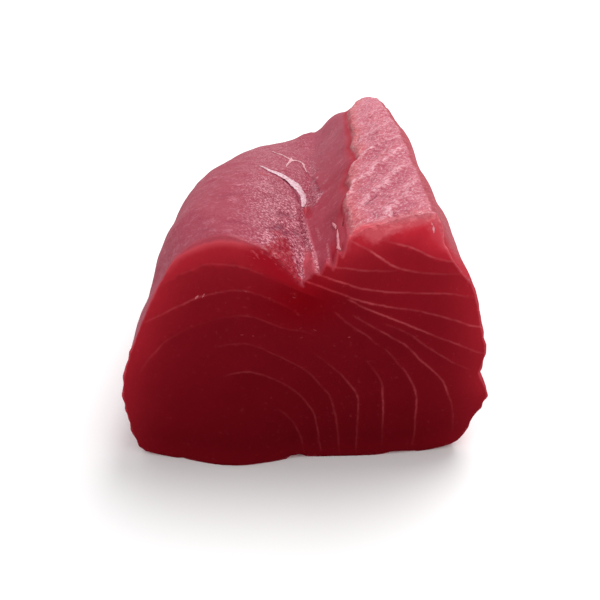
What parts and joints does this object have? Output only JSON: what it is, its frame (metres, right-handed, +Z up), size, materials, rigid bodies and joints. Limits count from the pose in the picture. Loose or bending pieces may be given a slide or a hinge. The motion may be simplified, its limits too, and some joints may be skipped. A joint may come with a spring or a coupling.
{
  "type": "raw tuna loin block",
  "caption": "Block of raw red tuna loin cut across at both ends, with a rounded lobe, a stepped notch and a flat-topped crest, lying on its flat underside.",
  "frame": {"origin": "middle of the block's box, on its flat underside", "axes": "+Z up, +Y along the block from the near cut face to the far one, +X from the lobe towards the crest"},
  "size_m": [0.1262, 0.1784, 0.0949],
  "materials": {
    "tuna_flesh": "moist raw fish flesh, deep red on the cuts and pinker on the outside, with thin pale septa"
  },
  "bodies": {
    "root": {"loin": "tuna_flesh"}
  },
  "joints": []
}
